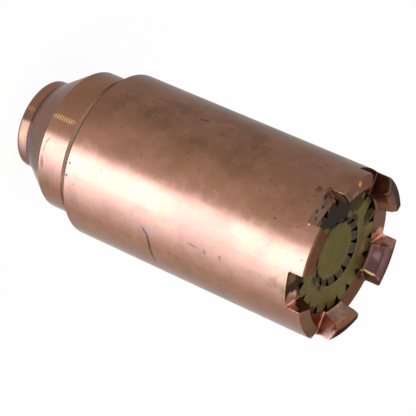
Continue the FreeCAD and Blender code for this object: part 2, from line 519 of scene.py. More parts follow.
def build_shell(sizes, jets, tail, outside_metal, face_metal):
    """Barrel and crown from one sector, which runs from the middle of a slot to the middle of the next."""
    pitch = math.tau / sizes.slots
    half_slot = sizes.slot_width / 2
    corner = sizes.slot_corner
    fine = sizes.fine_edge / sizes.tip_edge
    slot_offsets = spread(0.0, half_slot - corner, 4)
    lifts = [0.0] * len(slot_offsets)
    corner_steps = 4
    for step in range(1, corner_steps + 1):
        bend = math.pi / 2 * step / corner_steps
        slot_offsets.append(half_slot - corner + corner * math.sin(bend))
        lifts.append(corner - corner * math.cos(bend))
    tooth_shares = spread(0.0, 1.0, 16)

    def slot_turn(offset, radius):
        return math.asin(offset / radius)

    def on_tooth_turn(part, radius, height):
        """A place on a tooth, at this part of the way from its one side to the other."""
        edge_turn = slot_turn(half_slot, radius)
        return on_turn(radius, edge_turn + (pitch - 2 * edge_turn) * part, height)

    def row(radius, height, is_lifted):
        """Places across the whole sector at one radius and height."""
        lift = lifts if is_lifted else [0.0] * len(lifts)
        left = [on_turn(radius, slot_turn(offset, radius), height + rise)
                for offset, rise in zip(slot_offsets, lift)]
        right = [on_turn(radius, pitch - slot_turn(offset, radius), height + rise)
                 for offset, rise in zip(slot_offsets, lift)]
        middle = [on_tooth_turn(part, radius, height + lift[-1]) for part in tooth_shares]
        return left + middle[1:-1] + right[::-1]

    sector = Sector()
    outer_wall, tip, inner_wall = tooth_outline(sizes, jets)
    # The rows at the slot floor are lifted at the slot's corners, and the teeth start from them
    for stretch, marked in zip(shell_rear_profile(sizes, jets, tail), (False, True, False)):
        rows = [row(point.x, point.y, point.y == sizes.slot_floor) for point in stretch]
        sector.grid(rows, marked)
        if marked:
            sector.weigh(rows[0], fine)
            sector.weigh(rows[1], fine)

    radial_steps = len(tip) - 1
    floor_rows = [row(radius, sizes.slot_floor, True)
                  for radius in spread(sizes.radius, jets.ring_radius, radial_steps)]
    slot_ends = (slice(0, len(slot_offsets)), slice(-len(slot_offsets), None))
    for chosen in slot_ends:
        sector.grid([floor_row[chosen] for floor_row in floor_rows], marked=True)

    def lifted(point):
        """A wall point, with the lowest one raised to the top of the slot's round corner."""
        return Vector((point.x, max(point.y, sizes.slot_floor + corner)))

    def tooth_row(point):
        return [on_tooth_turn(part, point.x, point.y) for part in tooth_shares]

    outer = [lifted(point) for point in outer_wall]
    inner = [lifted(point) for point in inner_wall]
    sector.grid([tooth_row(point) for point in outer + tip[1:2]])
    sector.grid([tooth_row(point) for point in tip[1:]], marked=True)
    sector.grid([tooth_row(point) for point in inner[::-1]], marked=True)

    lines = [[out_point.lerp(in_point, step / radial_steps) for step in range(radial_steps + 1)]
             for out_point, in_point in zip(outer, inner)]
    for part in (0.0, 1.0):
        side = [[on_tooth_turn(part, point.x, point.y) for point in line] for line in lines + [tip]]
        sector.grid(side, marked=True)
        # The corner is rounded most at the outside, and hardly at the inner lip
        for step, (first, second) in enumerate(zip(side[-1], side[-1][1:])):
            sector.weigh([first, second], 1.0 - 0.8 * step / radial_steps)
        sector.weigh([line[0] for line in side], fine)
        sector.weigh([line[-1] for line in side], fine)
    for chosen in slot_ends:
        sector.weigh(floor_rows[0][chosen], fine)
        sector.weigh(floor_rows[-1][chosen], fine)

    piece = join_sectors(sector.finished("shell_sector"), "copper_shell", sizes.slots, 0.0,
                         (outside_metal, face_metal), sizes.tip_edge, 3)
    for face in piece.data.polygons:
        face.use_smooth = True
    return piece


def add_bevel(source, width, segments):
    """Rounds the weighed edges, and keeps the flats beside them flat."""
    bevel = source.modifiers.new("Worn edges", "BEVEL")
    bevel.limit_method = "WEIGHT"
    bevel.width = width
    bevel.segments = segments
    flat = source.modifiers.new("Flat faces", "WEIGHTED_NORMAL")
    flat.mode = "FACE_AREA_WITH_ANGLE"
    flat.keep_sharp = True


def join_sectors(source, name, sectors, first_turn, metals, edge, segments):
    """Repeats a sector about the axis, closes the piece and wears its weighed edges.

    metals are those of the outside and of the marked faces.
    """
    outside_metal, face_metal = metals
    run_tree(source, shared_tree("Sectors about the axis", repeat_tree), {
        "Count": sectors, "First Turn": first_turn,
        "Outside Metal": outside_metal, "Face Metal": face_metal})
    source = plain_mesh(source, name + "_joined")
    point_outwards(source)
    add_bevel(source, edge, segments)
    return plain_mesh(source, name)


def jet_sector(name, mouth_turn, front_rows, grooves, jets):
    """One groove's sector of a jet piece.

    mouth_turn is half the turn that the groove's mouth takes. front_rows gives the (radius, height)
    points of the front at a turn, from the inside to the outside.
    """
    half_pitch = math.pi / grooves
    bends = (-half_pitch, -mouth_turn, 0.0, mouth_turn, half_pitch)
    turns = [bends[0]]
    for first, last in zip(bends, bends[1:]):
        turns += spread(first, last, 3)[1:]
    front = [[on_turn(radius, turn, height) for radius, height in front_rows(turn)] for turn in turns]
    rear = [[(x, y, jets.rear) for x, y, height in line] for line in front]
    sector = Sector()
    sector.grid(front, marked=True)
    sector.grid(rear)
    for end in (0, -1):
        if front_rows(0.0)[end][0] > 0:
            edge = [line[end] for line in front]
            sector.grid([edge, [line[end] for line in rear]])
            sector.weigh(edge, 1.0)
    return sector.finished(name)


def groove_boundary(radius, depth, mouth):
    """Half the turn that a groove's mouth takes, and the outer radius at a turn from its middle."""
    mouth_turn = math.asin(mouth / 2 / radius)
    corner = Vector((radius * math.cos(mouth_turn), mouth / 2))
    apex = Vector((radius - depth, 0.0))

    def outer(turn):
        if abs(turn) >= mouth_turn:
            return radius
        # Where the ray at this turn meets the flank from the apex to the corner
        flank = corner - apex
        ray = Vector((math.cos(turn), abs(math.sin(turn))))
        return (apex.x * flank.y) / (ray.x * flank.y - ray.y * flank.x)

    return mouth_turn, outer


def build_ring(jets, outside_metal, face_metal):
    """The grooved brass ring."""
    mouth_turn, outer = groove_boundary(jets.ring_radius, jets.ring_groove_depth, jets.ring_groove_mouth)

    def rows(turn):
        return [(radius, jets.front) for radius in spread(jets.core_radius, outer(turn), 5)]

    source = jet_sector("ring_sector", mouth_turn, rows, jets.ring_grooves, jets)
    return join_sectors(source, "brass_jet_ring", jets.ring_grooves, jets.ring_turn,
                        (outside_metal, face_metal), jets.edge, 2)


def build_core(jets, outside_metal, face_metal):
    """The grooved brass core with its dished front."""
    mouth_turn, outer = groove_boundary(jets.core_radius, jets.core_groove_depth, jets.core_groove_mouth)

    def height_at(radius):
        rise = (radius - jets.dish_radius) / (jets.dish_rim - jets.dish_radius)
        return jets.front - jets.dish_depth * (1 - min(1.0, max(0.0, rise)))

    def rows(turn):
        edge = outer(turn)
        flat = [(radius, height_at(radius)) for radius in spread(0.0, jets.dish_radius, 4)]
        wall_end = min(jets.dish_rim, edge - 0.01 * MM)
        wall = [(radius, height_at(radius)) for radius in spread(jets.dish_radius, wall_end, 3)[1:]]
        return flat + wall + [(edge, height_at(edge))]

    source = jet_sector("core_sector", mouth_turn, rows, jets.core_grooves, jets)
    return join_sectors(source, "brass_jet_core", jets.core_grooves, jets.core_turn,
                        (outside_metal, face_metal), jets.edge, 2)


def blend(amount, first, second):
    """A colour from first to second by amount; a Mix node's colour sockets are 6, 7 and output 2."""
    return add(amount.tree, "ShaderNodeMix", {0: amount, 6: first, 7: second}, data_type="RGBA")[2]


def layered(base, *layers):
    """Lays colours over a base, each (amount, colour) in turn."""
    for amount, tint in layers:
        base = blend(amount, base, tint)
    return base


def scaled(vector, factor):
    """A vector times a factor."""
    return add(vector.tree, "ShaderNodeVectorMath", {0: vector, "Scale": factor}, operation="SCALE")[0]


def span(vector):
    """A vector's length."""
    return add(vector.tree, "ShaderNodeVectorMath", [vector], operation="LENGTH")["Value"]


def between(value, start, stop, first=0.0, last=1.0):
    """A value carried smoothly from first to last while it goes from start to stop."""
    return add(value.tree, "ShaderNodeMapRange", {
        "Value": value, "From Min": start, "From Max": stop, "To Min": first, "To Max": last,
    }, interpolation_type="SMOOTHSTEP")[0]


def axis_group():
    """Places in millimetres: as they are, and unrolled round the axis at a chosen radius."""
    tree, given = new_tree(
        "Round the axis", "Shader", [("Reference Radius", "Float", 17.5)],
        [("Place", "Vector"), ("Unrolled", "Vector"), ("Turn", "Float"), ("Height", "Float"),
         ("Radius", "Float")])
    place = scaled(add(tree, "ShaderNodeTexCoord")["Object"], 1.0 / MM)
    parts = add(tree, "ShaderNodeSeparateXYZ", [place])
    turn = calc("ARCTAN2", parts["Y"], parts["X"])
    radius = span(add(tree, "ShaderNodeCombineXYZ", [parts["X"], parts["Y"]])[0])
    unrolled = add(tree, "ShaderNodeCombineXYZ", [turn * given[0], parts["Z"], radius])[0]
    return close_tree(tree, [place, unrolled, calc("DEGREES", turn), parts["Z"], radius])


def mottle_group():
    """Cloudy patches from 0 to 1."""
    tree, given = new_tree(
        "Mottle", "Shader",
        [("Place", "Vector"), ("Size", "Float", 5.0), ("Detail", "Float", 3.0),
         ("From", "Float", 0.4), ("To", "Float", 0.7)],
        [("Amount", "Float")])
    noise = add(tree, "ShaderNodeTexNoise", {
        "Vector": given["Place"], "Scale": 1.0 / given["Size"], "Detail": given["Detail"]})
    return close_tree(tree, [between(noise[0], given["From"], given["To"])])


def turning_group():
    """Fine lines that a turning tool leaves, from 0 to 1 across them."""
    tree, given = new_tree(
        "Turning marks", "Shader",
        [("Place", "Vector"), ("Across", "Float", 0.0), ("Spacing", "Float", 0.2)],
        [("Lines", "Float")])
    drift = 0.05
    parts = add(tree, "ShaderNodeSeparateXYZ", [scaled(given["Place"], drift)])
    lines = add(tree, "ShaderNodeCombineXYZ", [
        parts["X"], parts["Y"], given["Across"] / given["Spacing"]])
    noise = add(tree, "ShaderNodeTexNoise", {"Vector": lines[0], "Scale": 1.0, "Detail": 2.0})
    return close_tree(tree, [between(noise[0], 0.3, 0.7)])


def mark_group():
    """One stain or scratch: an oval with a soft or ragged rim."""
    tree, given = new_tree(
        "Placed mark", "Shader",
        [("Place", "Vector"), ("Centre", "Vector"), ("Half Size", "Vector"), ("Tilt", "Vector"),
         ("Softness", "Float", 0.5), ("Noise", "Float", 0.5), ("Raggedness", "Float", 0.0)],
        [("Amount", "Float")])
    local = add(tree, "ShaderNodeMapping", {
        "Vector": given["Place"], "Location": given["Centre"], "Rotation": given["Tilt"],
        "Scale": given["Half Size"]}, vector_type="TEXTURE")
    wander = (given["Noise"] - 0.5) * given["Raggedness"]
    left = 1.0 - span(local[0]) - wander
    return close_tree(tree, [between(left, 0.0, given["Softness"])])


def use(tree, name, maker, inputs):
    """Puts a shared shader group in a material and feeds it."""
    return add(tree, "ShaderNodeGroup", inputs, node_tree=shared_tree(name, maker))


def mottle(place, size, start, stop, detail=3.0):
    """Clouds of this size in millimetres, which begin at one noise value and are full at another."""
    return use(place.tree, "Mottle", mottle_group, {
        "Place": place, "Size": size, "From": start, "To": stop, "Detail": detail})[0]


def turning(place, across, spacing):
    """Tool marks, spaced in millimetres along the direction that across measures."""
    return use(place.tree, "Turning marks", turning_group, {
        "Place": place, "Across": across, "Spacing": spacing})[0]


# A mark's middle (turn in degrees, height and radius in mm), its half sizes round the axis, along it and
# across it in mm, its tilt in degrees, and how it looks
Mark = namedtuple("Mark", "turn height radius arc rise depth tilt soft ragged tint amount")


def mark_amount(axis, reference, noise, mark):
    """How strongly a mark shows at each place."""
    place = axis["Unrolled"]
    return use(place.tree, "Placed mark", mark_group, {
        "Place": place,
        "Centre": (math.radians(mark.turn) * reference, mark.height, mark.radius),
        "Half Size": (mark.arc, mark.rise, mark.depth),
        "Tilt": (0.0, 0.0, math.radians(mark.tilt)),
        "Softness": mark.soft, "Noise": noise, "Raggedness": mark.ragged})[0] * mark.amount


def put_marks(base, axis, reference, noise, marks):
    """Lays marks over a colour, each by its own amount. Returns the colour and how much is covered."""
    covered = 0.0
    for mark in marks:
        amount = mark_amount(axis, reference, noise, mark)
        base = blend(amount, base, (*mark.tint, 1.0))
        covered = calc("MAXIMUM", covered, amount)
    return base, covered


def new_material(name):
    """A material with nodes, and its tree."""
    material = bpy.data.materials.new(name)
    material.use_nodes = True
    return material, material.node_tree


def new_metal(name, coat, edge_tint, reference):
    """A metal with a thin clear film, and places round the axis for its patterns.

    edge_tint is how much a surface that is seen at a slant mirrors. reference is the radius in
    millimetres at which places are unrolled.
    """
    material, tree = new_material(name)
    shader = tree.nodes["Principled BSDF"]
    shader.inputs["Metallic"].default_value = 1.0
    shader.inputs["Coat Weight"].default_value = coat
    shader.inputs["Coat Roughness"].default_value = 0.3
    shader.inputs["Coat IOR"].default_value = 1.8
    shader.inputs["Specular Tint"].default_value = (edge_tint, edge_tint, edge_tint, 1.0)
    return material, use(tree, "Round the axis", axis_group, {"Reference Radius": reference})


def finish_metal(material, base, rough, height=None, depth=0.0):
    """Feeds a metal its colour, its roughness and a bump with a height from 0 to 1.

    depth is in millimetres.
    """
    tree = material.node_tree
    shader = tree.nodes["Principled BSDF"]
    feed(shader, {"Base Color": base, "Roughness": rough})
    if height:
        ripples = add(tree, "ShaderNodeBump", {"Distance": depth * MM, "Height": height})
        feed(shader, {"Normal": ripples[0]})
    return material


# In millimetres: the barrel's outside, a half size that goes through every wall, and the height of the
# slot floors and jets
BARREL_RADIUS = 17.5
ANY_DEPTH = 99.0
FLOOR_HEIGHT = 73.3

STAIN_DARK = (0.045, 0.020, 0.018)
STAIN_BROWN = (0.120, 0.052, 0.032)
STAIN_OLIVE = (0.180, 0.120, 0.045)
STAIN_GREY = (0.190, 0.130, 0.105)
STAIN_RED = (0.085, 0.032, 0.020)
GOLDEN_BROWN = (0.235, 0.112, 0.046)


def on_wall(soft, ragged, tint, *rows):
    """Marks that look alike and go through the whole wall.

    A row holds turn, height, arc, rise, amount and, if the mark is tilted, its tilt.
    """
    def mark(turn, height, arc, rise, amount, tilt=0.0):
        return Mark(turn, height, BARREL_RADIUS, arc, rise, ANY_DEPTH, tilt, soft, ragged, tint, amount)

    return [mark(*row) for row in rows]


BARREL_MARKS = (
    # The curved scratch and the pale smear round it
    *on_wall(0.9, 1.0, STAIN_GREY, (66.0, 40.0, 3.2, 1.5, 0.5)),
    *on_wall(0.45, 0.35, STAIN_RED, (64.0, 39.6, 1.25, 0.40, 0.9, 42.0), (69.0, 40.35, 1.90, 0.42, 1.0, 8.0),
             (75.5, 40.60, 2.20, 0.42, 1.0, 2.0), (82.0, 40.75, 2.20, 0.36, 1.0, 1.0),
             (87.5, 40.85, 1.90, 0.26, 0.9, 1.0)),
    # Thin scratches and small pits
    *on_wall(0.8, 0.3, STAIN_DARK, (58.4, 51.4, 0.20, 1.9, 0.8, -4.0)),
    *on_wall(0.7, 1.2, STAIN_BROWN, (59.4, 54.15, 0.75, 0.42, 1.0), (58.0, 58.0, 0.60, 0.45, 0.8)),
    *on_wall(0.7, 0.5, STAIN_DARK, (-25.6, 41.0, 0.34, 1.35, 0.95, 14.0)),
    *on_wall(0.8, 0.5, STAIN_DARK, (14.5, 65.9, 0.34, 0.34, 0.8), (2.3, 64.6, 0.30, 0.30, 0.6),
             (5.9, 68.5, 0.26, 0.26, 0.6), (-27.0, 68.2, 0.34, 0.34, 0.7), (-31.8, 68.9, 0.34, 0.34, 0.7)),
    *on_wall(0.8, 0.8, STAIN_DARK, (19.5, 67.0, 0.42, 0.42, 0.6)),
    *on_wall(0.9, 1.2, STAIN_BROWN, (20.7, 70.6, 0.75, 0.45, 0.6)),
    *on_wall(0.9, 1.0, STAIN_DARK, (7.5, 71.6, 0.40, 0.35, 0.6)),
    # Small pits by the barrel's rear end
    *on_wall(0.7, 0.9, STAIN_DARK, (40.7, 19.7, 0.36, 0.34, 0.95), (49.0, 19.4, 0.36, 0.34, 0.95)),
    *on_wall(0.7, 1.0, STAIN_DARK, (53.7, 21.4, 0.34, 0.42, 0.8, 30.0)),
    # Golden streak across the highlight, and golden patches
    *on_wall(1.0, 0.8, (0.250, 0.125, 0.048), (38.0, 70.1, 4.6, 0.9, 0.50)),
    *on_wall(1.0, 0.9, GOLDEN_BROWN, (6.0, 40.2, 3.0, 4.0, 0.50), (11.0, 51.4, 2.6, 4.4, 0.50),
             (15.0, 64.0, 2.4, 3.6, 0.55), (-5.0, 26.0, 2.4, 2.6, 0.50)),
    # Olive and brown stain below the highlight, near the crown
    *on_wall(1.0, 0.7, STAIN_OLIVE, (58.0, 67.0, 0.8, 2.6, 0.75)),
    *on_wall(1.0, 0.5, (0.150, 0.074, 0.026), (58.5, 70.8, 2.0, 2.8, 0.95)),
    *on_wall(1.0, 0.4, (0.150, 0.076, 0.026), (60.0, 72.6, 2.8, 1.6, 0.90)),
    # Soft brown blotches on the upper side
    *on_wall(1.0, 0.9, STAIN_BROWN, (-17.0, 24.0, 3.2, 3.0, 0.60, 20.0), (-14.0, 30.5, 2.4, 3.4, 0.55),
             (-30.0, 33.0, 2.0, 4.0, 0.45, 10.0), (-24.0, 47.0, 2.6, 2.4, 0.55),
             (-33.0, 52.5, 3.0, 3.6, 0.45), (-8.0, 43.5, 2.2, 3.6, 0.35)),
    *on_wall(1.0, 1.0, STAIN_BROWN, (-12.0, 52.0, 1.8, 2.2, 0.40), (-19.0, 56.5, 2.6, 3.0, 0.45)),
    # Dark stains round the slot between the upper two teeth
    *on_wall(0.9, 1.6, STAIN_DARK, (-8.0, 71.8, 1.6, 1.1, 0.65)),
    *on_wall(0.9, 1.4, STAIN_DARK, (-13.0, 73.4, 1.0, 0.9, 0.60)),
)


def handled_copper(name, metals):
    """Handled copper: cloudy brown, rubbed places, stains, scratches and pits, with painted shade on one
    side.
    """
    material, axis = new_metal(name, 0.22, 0.65, BARREL_RADIUS)
    place = axis["Place"]
    broad = mottle(place, 8.0, 0.42, 0.66)
    medium = mottle(place, 2.4, 0.45, 0.72, 4.0)
    fine = mottle(place, 0.6, 0.50, 0.75)
    golden = mottle(place, 4.5, 0.47, 0.70)
    specks = mottle(place, 0.9, 0.71, 0.77, 1.0)
    # The side round this turn is painted browner and darker than the rest, as painted shade where the barrel
    # mirrors less light
    shaded_turn, shaded_span = -25.0, 50.0
    painted_shade_side = between(calc("ABSOLUTE", axis["Turn"] - shaded_turn), shaded_span, 0.0)
    base = layered(
        metals.copper, (broad * 0.45 + painted_shade_side * 0.55, metals.brown), (medium * 0.25, metals.rubbed),
        (fine * 0.15, metals.brown), (golden * 0.40, (*GOLDEN_BROWN, 1.0)),
        (specks * 0.5, (*STAIN_DARK, 1.0)))
    rim_noise = mottle(place, 1.3, 0.3, 0.7)
    base = put_marks(base, axis, BARREL_RADIUS, rim_noise, BARREL_MARKS)[0]
    rough = medium * 0.07 + broad * 0.04 + 0.26
    waves = mottle(place, 5.0, 0.2, 0.8, 2.0) * 2.5
    grain = mottle(place, 0.35, 0.2, 0.8) * 0.30
    return finish_metal(material, base, rough, waves + grain, 0.010)


TAIL_MARKS = (
    # Fine scratches and stains on the collar, and a brighter golden tint on the neck where its highlight
    # falls, a painted highlight
    *on_wall(0.7, 0.6, STAIN_BROWN, (34.0, 11.50, 1.2, 0.28, 0.9, -28.0),
             (41.5, 11.10, 1.5, 0.26, 0.85, -6.0)),
    *on_wall(0.8, 1.0, (0.130, 0.050, 0.030), (50.5, 11.15, 1.7, 0.42, 0.9, 3.0)),
    *on_wall(1.0, 1.0, (0.240, 0.120, 0.050), (47.0, 11.80, 1.4, 0.40, 0.5)),
    *on_wall(1.0, 0.8, (0.150, 0.102, 0.058), (66.0, 12.20, 2.0, 1.5, 0.5)),
    *on_wall(1.0, 0.5, (0.380, 0.200, 0.070), (46.0, 1.0, 3.4, 1.3, 0.5)),
)

# Where painted glints lie on the tool marks of collar and neck
PAINTED_GLINTS = (
    *on_wall(0.5, 0.3, GOLDEN_BROWN, (13.9, 13.3, 0.75, 3.7, 0.70)),
    *on_wall(0.6, 0.3, GOLDEN_BROWN, (13.3, 1.4, 0.85, 1.3, 0.45)),
)


def tooled_copper(name, metals):
    """Clean turned copper with fine tool marks, some of which carry painted glints."""
    reference = 15.0
    material, axis = new_metal(name, 0.10, 0.70, reference)
    place, height = axis["Place"], axis["Height"]
    lines = turning(place, height, 0.16)
    wide = turning(place, height, 0.9)
    cloud = mottle(place, 4.0, 0.4, 0.7)
    base = layered(metals.turned, (cloud * 0.30, metals.brown), (lines * 0.30, metals.rubbed),
                   (wide * 0.20, metals.brown))
    base = put_marks(base, axis, reference, cloud, TAIL_MARKS)[0]
    # Painted glints: evenly spaced tool marks painted bright golden along one line
    tick_spacing = 0.57
    painted_glint_lines = between(calc("SINE", height * (math.tau / tick_spacing)), -0.2, 0.7)
    for mark in PAINTED_GLINTS:
        base = blend(mark_amount(axis, reference, cloud, mark) * painted_glint_lines, base, metals.painted_glint_gold)
    return finish_metal(material, base, cloud * 0.06 + 0.22, lines, 0.004)


def crown_copper(name, metals):
    """The milled and turned faces of the crown, each tinted on its own, many with painted light, shade and
    highlights.
    """
    reference = 15.0
    material, axis = new_metal(name, 0.05, 0.12, reference)
    place, height = axis["Place"], axis["Height"]
    cloud = mottle(place, 1.6, 0.35, 0.7)
    fine = mottle(place, 0.4, 0.45, 0.75)
    base = layered(metals.copper, (cloud * 0.35, metals.brown), (fine * 0.25, metals.rubbed))
    base, covered = put_marks(base, axis, reference, cloud, CROWN_MARKS)
    # The bevel and the step at the rear are painted lighter, as painted light that lifts the dark they
    # mirror, each between two heights in millimetres
    bevel = between(height, 18.45, 18.20) * between(height, 16.8, 16.95)
    step = between(height, 18.15, 18.45) * between(height, 19.15, 18.95)
    painted_light_share = 0.9
    base = layered(base, (bevel * painted_light_share, (0.480, 0.300, 0.235, 1.0)),
                   (step * painted_light_share, (0.600, 0.400, 0.300, 1.0)))
    rough = cloud * 0.06 + (covered * 0.22 + 0.22)
    return finish_metal(material, base, rough, turning(place, axis["Radius"], 0.25), 0.002)


def on_tooth(turn, height, radius, arc, rise, depth, tint, amount, soft=0.6, ragged=0.5, tilt=0.0):
    """A mark on one face of the crown."""
    return Mark(turn, height, radius, arc, rise, depth, tilt, soft, ragged, tint, amount)


CROWN_MARKS = tuple(on_tooth(*row) for row in (
    # Slot floors, from the one at 0 degrees on, tinted one by one: the bright pink and orange patches are
    # painted light, the dark floor by tooth A painted shade, and the small dark spots stains
    (0.0, FLOOR_HEIGHT, 15.2, 5.2, 0.6, 4.5, (0.330, 0.222, 0.175), 0.85, 0.4),
    (-9.0, FLOOR_HEIGHT, 15.6, 1.9, 0.7, 3.0, (0.210, 0.126, 0.090), 0.7),
    (-3.0, FLOOR_HEIGHT, 15.2, 0.50, 0.5, 0.60, STAIN_DARK, 0.8, 0.8),
    (3.5, FLOOR_HEIGHT, 16.2, 0.45, 0.5, 0.55, STAIN_DARK, 0.7, 0.8),
    (7.0, FLOOR_HEIGHT, 15.0, 0.45, 0.5, 0.50, STAIN_DARK, 0.7, 0.8),
    (-8.0, FLOOR_HEIGHT, 16.6, 0.70, 0.5, 0.60, STAIN_DARK, 0.8, 0.8),
    (-14.8, 73.6, 15.2, 0.7, 0.5, 3.4, (0.100, 0.055, 0.036), 0.9, 0.4),
    (60.0, FLOOR_HEIGHT, 15.2, 5.2, 0.9, 4.5, (0.085, 0.048, 0.036), 0.92, 0.4),
    (72.5, 73.4, 15.8, 2.0, 0.9, 2.2, (0.950, 0.560, 0.430), 0.95, 0.5),
    (52.5, FLOOR_HEIGHT, 15.7, 2.0, 0.8, 1.8, (0.280, 0.182, 0.098), 0.85),
    (120.0, FLOOR_HEIGHT, 14.6, 5.0, 0.9, 4.5, (0.190, 0.065, 0.038), 0.9, 0.4),
    (176.0, FLOOR_HEIGHT, 15.2, 5.0, 0.9, 5.0, (0.230, 0.130, 0.095), 0.8),
    (-176.0, FLOOR_HEIGHT, 15.2, 5.0, 0.9, 5.0, (0.230, 0.130, 0.095), 0.8),
    (-120.0, FLOOR_HEIGHT, 15.2, 5.0, 0.9, 5.0, (0.290, 0.180, 0.145), 0.85),
    (-132.0, 73.5, 15.2, 1.5, 0.9, 5.0, (0.980, 0.520, 0.370), 0.90),
    # Tooth A: its end, painted dark red-brown as painted shade, lighter at one side and darker at the other
    (30.0, 77.0, 16.3, 7.5, 1.3, 2.2, (0.155, 0.066, 0.040), 0.9, 0.4),
    (44.0, 77.0, 16.3, 1.6, 1.3, 2.2, (0.230, 0.095, 0.052), 0.6, 0.8),
    (18.0, 77.0, 16.0, 2.0, 1.3, 2.2, (0.120, 0.050, 0.030), 0.6, 0.8),
    # Tooth B: its side, painted light near the outside and shade further in, its end, and a painted glint at
    # its tip
    (75.0, 74.7, 17.0, 1.3, 1.7, 1.5, (0.620, 0.270, 0.170), 0.9, 0.6),
    (75.0, 75.6, 14.3, 1.3, 2.2, 1.7, (0.200, 0.072, 0.040), 0.9, 0.6),
    (90.0, 77.0, 16.2, 6.0, 1.3, 2.4, (0.240, 0.152, 0.092), 0.75, 0.6),
    (104.5, 76.4, 17.2, 0.8, 0.7, 0.8, (0.950, 0.560, 0.420), 0.9, 0.9),
    # Tooth C: side painted lighter as painted light, inner wall with a painted highlight, and specks by the
    # tip
    (135.0, 75.0, 14.6, 1.6, 2.4, 2.2, (0.560, 0.180, 0.095), 0.85, 0.6),
    (135.0, 75.8, 16.9, 1.6, 2.0, 1.6, (0.330, 0.155, 0.115), 0.85, 0.8),
    (150.0, 74.8, 13.4, 5.0, 3.0, 1.4, (0.500, 0.310, 0.235), 0.85, 0.8),
    (161.0, 75.6, 13.8, 2.0, 2.0, 1.2, (0.200, 0.105, 0.072), 0.5, 0.8),
    (143.0, 76.6, 14.2, 0.14, 0.16, 0.5, STAIN_BROWN, 0.6, 0.6, 0.1),
    (147.0, 76.8, 14.3, 0.12, 0.14, 0.5, STAIN_BROWN, 0.5, 0.6, 0.1),
    # Tooth D: purple inner wall with a painted pale highlight, a painted gold edge highlight and dark marks,
    # and both sides, the one by the next slot painted lighter as painted light
    (-150.0, 75.6, 13.9, 5.2, 4.0, 3.2, (0.130, 0.062, 0.059), 0.97, 0.15),
    (-146.0, 75.4, 13.7, 1.7, 1.6, 1.6, (0.300, 0.180, 0.190), 0.75, 0.9),
    (-138.0, 76.4, 14.8, 1.5, 1.2, 1.4, (0.135, 0.066, 0.062), 0.9, 0.5),
    (-144.0, 76.2, 14.2, 1.1, 0.45, 0.7, STAIN_DARK, 0.6, 0.6, 1.4),
    (-155.0, 76.2, 14.2, 2.0, 0.16, 0.8, STAIN_DARK, 0.7, 0.6, 0.8),
    (-162.3, 75.2, 13.6, 0.45, 2.3, 1.1, (0.950, 0.720, 0.300), 0.95, 0.8),
    (-165.0, 75.2, 16.0, 1.2, 2.6, 2.2, (0.170, 0.075, 0.048), 0.85, 0.5),
    (-135.0, 74.2, 14.4, 1.4, 1.6, 1.9, (0.560, 0.280, 0.170), 0.8, 0.8),
    (-135.5, 76.0, 16.0, 1.3, 1.8, 1.8, (0.420, 0.230, 0.185), 0.8, 0.6),
    # Tooth E: black-brown inner wall, painted shade, with red; the wall and floor beside it, darkened; and
    # its end
    (-80.0, 75.0, 13.6, 2.2, 2.8, 1.8, (0.090, 0.030, 0.019), 0.9, 0.5),
    (-76.0, 75.8, 15.4, 0.8, 1.2, 1.4, (0.380, 0.085, 0.040), 0.6, 0.9),
    (-75.5, 73.7, 15.2, 1.9, 1.0, 4.5, (0.070, 0.024, 0.014), 0.95, 0.4, 0.2),
    (-62.0, FLOOR_HEIGHT, 15.6, 4.4, 0.6, 4.5, (0.080, 0.032, 0.021), 0.92, 0.4, 0.2),
    (-90.0, 77.0, 16.4, 7.0, 1.3, 2.2, (0.150, 0.122, 0.104), 0.8, 0.5),
    # Tooth F: its end, with a bright spot that is a painted glint, its side painted lighter as painted
    # light, and its corner
    (-30.0, 77.0, 16.3, 7.0, 1.3, 2.2, (0.210, 0.108, 0.074), 0.6, 0.4),
    (-22.0, 77.1, 15.6, 1.8, 0.8, 0.9, (0.300, 0.200, 0.165), 0.7, 0.8),
    (-29.5, 76.8, 16.9, 0.65, 0.65, 0.7, (1.000, 0.420, 0.150), 0.95, 0.8),
    (-15.5, 75.2, 15.4, 0.8, 2.2, 3.2, (0.620, 0.345, 0.230), 0.85, 0.4),
    (-16.0, 76.9, 16.0, 0.9, 0.9, 1.9, (0.170, 0.095, 0.066), 0.90, 0.4),
))


def on_front(turn, radius, arc, depth, tint, amount, soft=0.6, ragged=0.5):
    """A mark on the jets' front, high enough to tint the dish as well."""
    return on_tooth(turn, FLOOR_HEIGHT, radius, arc, 9.0, depth, tint, amount, soft, ragged)


JET_MARKS = tuple(on_front(*row) for row in (
    # Painted shadows of the teeth: dark grey over the upper side of the ring, and brown from there to the
    # left
    (-25.0, 10.3, 7.6, 3.6, (0.045, 0.037, 0.031), 0.96, 0.25, 0.5),
    (-62.0, 10.2, 2.6, 2.4, (0.085, 0.066, 0.026), 0.8, 0.6, 0.4),
    (-103.0, 11.0, 2.2, 2.1, (0.055, 0.036, 0.020), 0.92, 0.3, 0.6),
    # Dark patches on the ring, and painted shade along its inner edge beside the core
    (63.0, 12.2, 1.9, 1.1, (0.040, 0.030, 0.026), 0.9, 0.5),
    (108.0, 7.7, 2.0, 0.7, (0.040, 0.032, 0.024), 0.85, 0.6, 1.0),
    (116.0, 12.5, 1.6, 0.9, (0.060, 0.048, 0.044), 0.85, 0.6, 1.0),
    (-72.0, 7.75, 2.9, 0.75, (0.055, 0.045, 0.040), 0.85, 0.5, 0.7),
    (84.0, 8.0, 2.4, 0.9, (0.050, 0.042, 0.034), 0.8, 0.5, 0.8),
    # Painted light and painted reflections of the copper teeth on the brighter side of the ring: a tan, a
    # purple and a red tint
    (-122.0, 10.8, 3.6, 2.0, (0.290, 0.225, 0.090), 0.7, 0.9, 0.4),
    (-141.0, 10.2, 2.4, 1.9, (0.420, 0.265, 0.130), 0.85, 0.9, 0.4),
    (-148.0, 12.0, 0.9, 0.8, (0.065, 0.042, 0.065), 0.85, 0.8, 0.4),
    (-166.0, 11.8, 0.7, 0.8, (0.160, 0.050, 0.030), 0.7, 0.8, 0.4),
))


